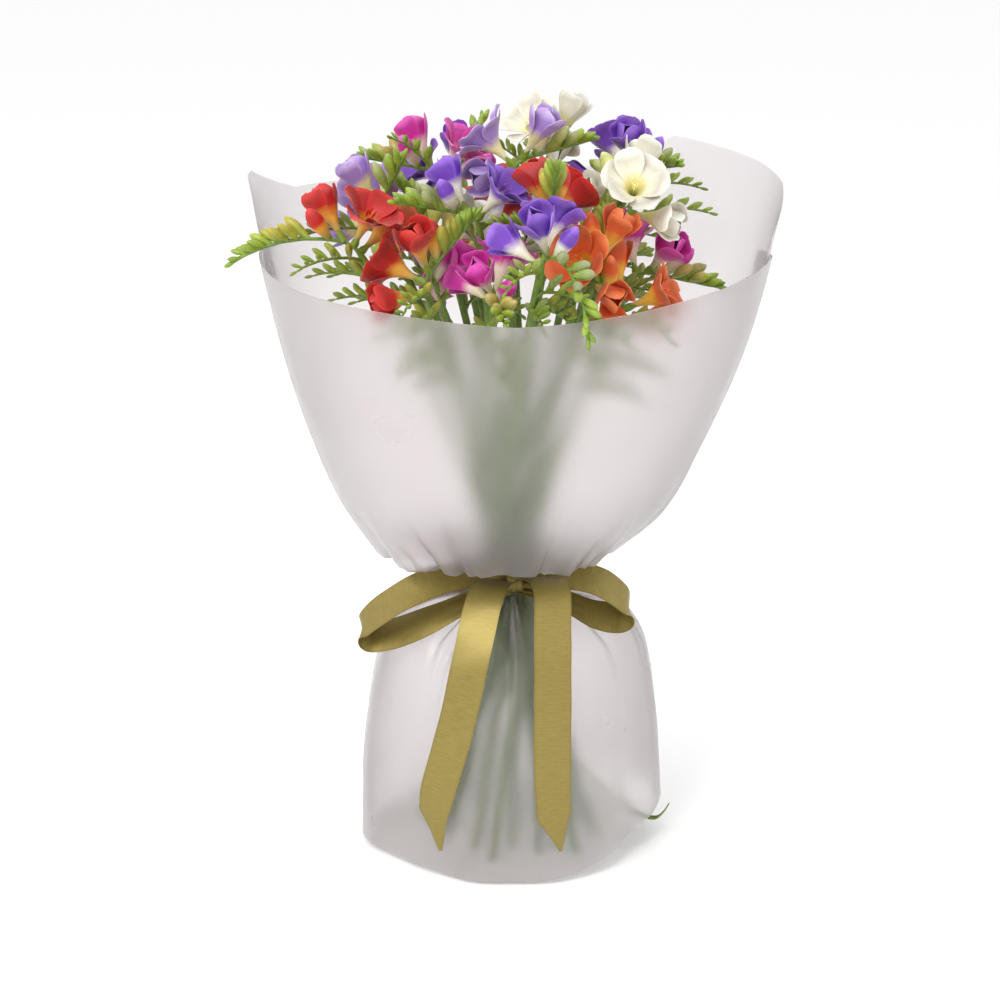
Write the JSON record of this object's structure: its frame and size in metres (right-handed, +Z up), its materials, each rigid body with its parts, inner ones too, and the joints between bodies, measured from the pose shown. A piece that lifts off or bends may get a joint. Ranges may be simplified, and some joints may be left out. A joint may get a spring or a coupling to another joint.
{
  "type": "freesia bouquet",
  "caption": "Hand-tied bouquet of mixed freesias in frosted film, gathered at the neck by a satin bow and flaring into a skirt that it stands on.",
  "frame": {"origin": "on the surface that the bouquet stands on, at the centre of its outline's box", "axes": "+Z up along the bundle, through the flowers; the bow faces -Y"},
  "size_m": [0.3554, 0.327, 0.4978],
  "materials": {
    "stem_green": "waxy green stems, bracts and closed buds",
    "petal_magenta": "soft satiny magenta petals",
    "petal_violet": "soft satiny violet petals",
    "petal_white": "soft satiny cream white petals",
    "petal_orange": "soft satiny orange petals",
    "petal_red": "soft satiny red petals",
    "petal_lilac": "soft satiny lilac petals",
    "frosted_film": "frosted translucent film, faintly lilac",
    "tie_red": "coral red elastic band",
    "ribbon_satin": "olive gold satin with a soft sheen along its weave"
  },
  "bodies": {
    "root": {"stem_01": "stem_green", "blooms_01": "petal_lilac", "stem_02": "stem_green", "blooms_02": "petal_violet", "stem_03": "stem_green", "blooms_03": "petal_white", "stem_04": "stem_green", "blooms_04": "petal_white", "stem_05": "stem_green", "blooms_05": "petal_red", "stem_06": "stem_green", "blooms_06": "petal_white", "stem_07": "stem_green", "blooms_07": "petal_magenta", "stem_08": "stem_green", "blooms_08": "petal_white", "stem_09": "stem_green", "blooms_09": "petal_magenta", "stem_10": "stem_green", "blooms_10": "petal_magenta", "stem_11": "stem_green", "blooms_11": "petal_violet", "stem_12": "stem_green", "blooms_12": "petal_lilac", "stem_13": "stem_green", "blooms_13": "petal_orange", "stem_14": "stem_green", "blooms_14": "petal_orange", "stem_15": "stem_green", "blooms_15": "petal_red", "stem_16": "stem_green", "blooms_16": "petal_magenta", "stem_17": "stem_green", "blooms_17": "petal_orange", "stem_18": "stem_green", "blooms_18": "petal_violet", "stem_19": "stem_green", "blooms_19": "petal_magenta", "stem_20": "stem_green", "blooms_20": "petal_red", "stem_21": "stem_green", "blooms_21": "petal_orange", "stem_22": "stem_green", "blooms_22": "petal_violet", "wrap_sheet_front": "frosted_film", "wrap_sheet_back": "frosted_film", "tie_band": "tie_red", "ribbon_bow": "ribbon_satin"}
  },
  "joints": []
}
